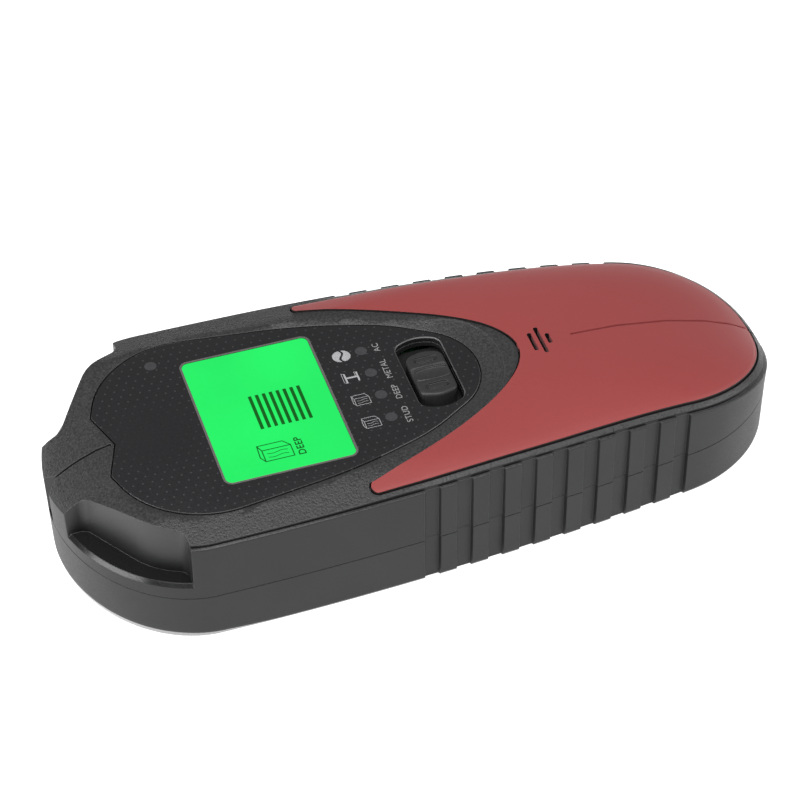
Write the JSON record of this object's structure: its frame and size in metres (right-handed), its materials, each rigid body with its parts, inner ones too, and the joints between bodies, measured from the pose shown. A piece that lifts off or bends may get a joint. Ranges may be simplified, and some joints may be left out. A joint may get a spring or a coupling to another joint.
{
  "type": "stud finder",
  "caption": "Handheld multi-mode stud finder: green display window, mode slide switch, red grip cover, ribbed sides and a notched tip.",
  "frame": {"origin": "centre of the footprint on the flat sensing face", "axes": "+Y towards the pointed tip, +Z out of the display face, +X to the right when the tip points away"},
  "size_m": [0.0688, 0.165, 0.0313],
  "materials": {
    "lower_housing": "fine moulded texture",
    "upper_housing": "smooth sides, textured top bezel",
    "red_cover": "satin",
    "front_panel": "satin gloss overlay",
    "lcd_window": "clear gloss",
    "lcd_glass": "lit green display",
    "light_guide": "frosted",
    "black_plastic": "moulded",
    "elastomer": "soft",
    "knob": "moulded",
    "switch_can": "plated",
    "contact_brass": "plain",
    "button": "matte",
    "plunger": "moulded",
    "battery_jacket": "satin",
    "terminal": "nickel plate",
    "vinyl": "soft vinyl",
    "wire_red": "insulation",
    "wire_black": "insulation",
    "foam": "closed-cell foam",
    "board": "solder mask",
    "chip": "moulded epoxy",
    "capacitor": "sleeved can",
    "copper": "bare copper",
    "ferrite": "ferrite",
    "led": "clear epoxy",
    "light_pipe": "clear acrylic",
    "screw_steel": "zinc plated"
  },
  "bodies": {
    "housing": {"lower_shell": "lower_housing", "upper_shell": "upper_housing", "red_cover": "red_cover", "front_panel": "front_panel", "lcd_window": "lcd_window", "lcd_glass": "lcd_glass", "lcd_backlight": "light_guide", "lcd_frame": "black_plastic", "tact_switch_body": "black_plastic", "board_connector": "black_plastic", "piezo_sounder": "black_plastic", "lcd_elastomer_tail": "elastomer", "lcd_elastomer_tip": "elastomer", "slide_switch_housing": "switch_can", "piezo_disc": "contact_brass", "battery_9v": "battery_jacket", "battery_terminal_positive": "terminal", "battery_terminal_negative": "terminal", "crystal": "terminal", "battery_snap": "vinyl", "battery_lead_red": "wire_red", "battery_lead_black": "wire_black", "battery_foam_pad": "foam", "main_board": "board", "sensor_board": "board", "microcontroller": "chip", "signal_amplifier": "chip", "voltage_regulator": "chip", "capacitor_supply": "capacitor", "capacitor_backlight": "capacitor", "sensor_plate_left": "copper", "sensor_plate_centre": "copper", "sensor_plate_right": "copper", "metal_sensing_coil": "copper", "coil_core": "ferrite", "mode_led_1": "led", "mode_led_2": "led", "mode_led_3": "led", "mode_led_4": "led", "warning_led": "led", "mode_light_pipe_1": "light_pipe", "mode_light_pipe_2": "light_pipe", "mode_light_pipe_3": "light_pipe", "mode_light_pipe_4": "light_pipe", "warning_light_pipe": "light_pipe", "case_screw_front_right": "screw_steel", "case_screw_front_left": "screw_steel", "case_screw_tail_right": "screw_steel", "case_screw_tail_left": "screw_steel", "board_screw_tip_left": "screw_steel", "board_screw_tip_right": "screw_steel", "board_screw_tail_right": "screw_steel", "board_screw_tail_left": "screw_steel"},
    "mode_slide": {"mode_slide_knob": "knob", "slide_switch_carriage": "contact_brass"},
    "power_button": {"power_button": "button"},
    "tact_plunger": {"tact_switch_plunger": "plunger"},
    "battery_door": {"battery_door": "lower_housing"}
  },
  "joints": [
    {"name": "mode_slide", "type": "slide", "parent": "housing", "child": "mode_slide", "axis": [1, 0, 0], "range_m": [-0.00215, 0.0043]},
    {"name": "power_button_press", "type": "slide", "parent": "housing", "child": "power_button", "axis": [-1, 0, 0], "range_m": [0, 0.0006], "stiffness_N_per_m": 1500},
    {"name": "tact_plunger_press", "type": "slide", "parent": "housing", "child": "tact_plunger", "axis": [-1, 0, 0], "range_m": [0, 0.0006]},
    {"name": "battery_door_hinge", "type": "hinge", "parent": "housing", "child": "battery_door", "pos_m": [0, -0.06, 0.001], "axis": [-1, 0, 0], "range_deg": [0, 100]}
  ],
  "couplings": [
    {"joint": "tact_plunger_press", "follows": "power_button_press", "ratio": 1}
  ]
}
